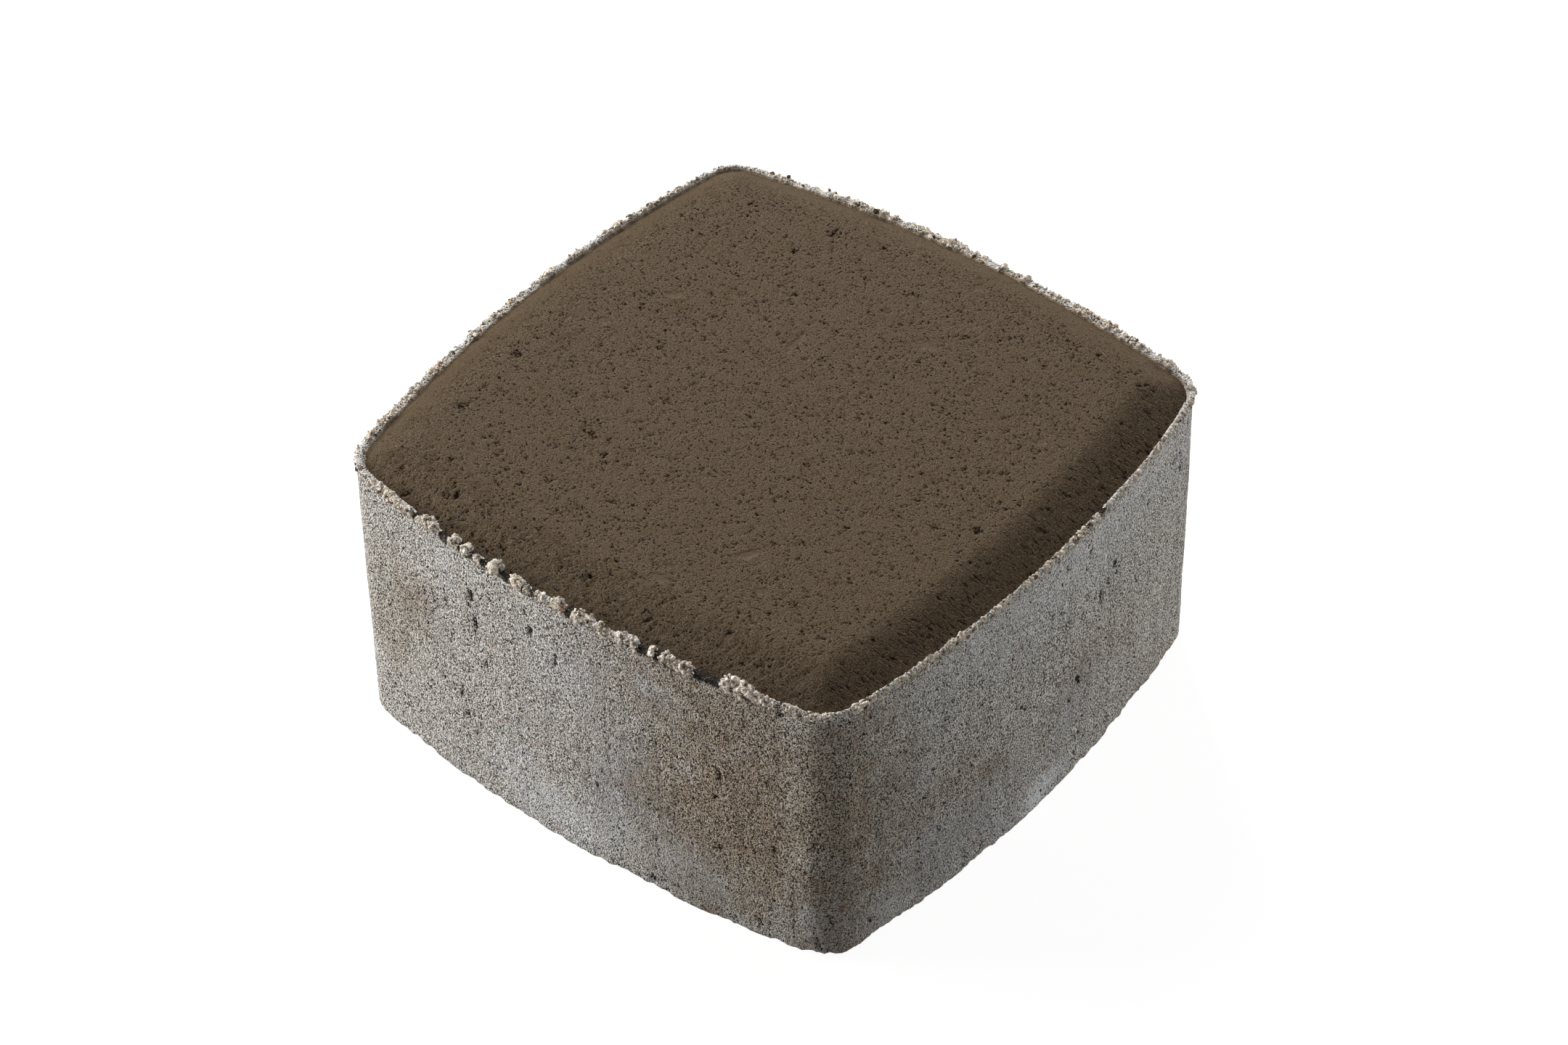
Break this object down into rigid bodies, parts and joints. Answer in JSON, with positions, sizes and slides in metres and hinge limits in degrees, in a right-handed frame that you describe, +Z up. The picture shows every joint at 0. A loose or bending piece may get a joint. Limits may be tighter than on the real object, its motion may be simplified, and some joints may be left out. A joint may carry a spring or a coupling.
{
  "type": "concrete paving stone",
  "caption": "Square concrete paving stone with gently bowed sides, rounded corners, a rolled border round its flat wearing face and a low burr lip along the rim.",
  "frame": {"origin": "middle of the bed face, which the stone lies on", "axes": "+Z up, out of the wearing face; +X and +Y out of two neighbouring sides"},
  "size_m": [0.118, 0.118, 0.06],
  "materials": {
    "concrete": "grey pressed concrete, rough and open grained, with a brown pigmented wearing face"
  },
  "bodies": {
    "root": {"paving_stone": "concrete"}
  },
  "joints": []
}
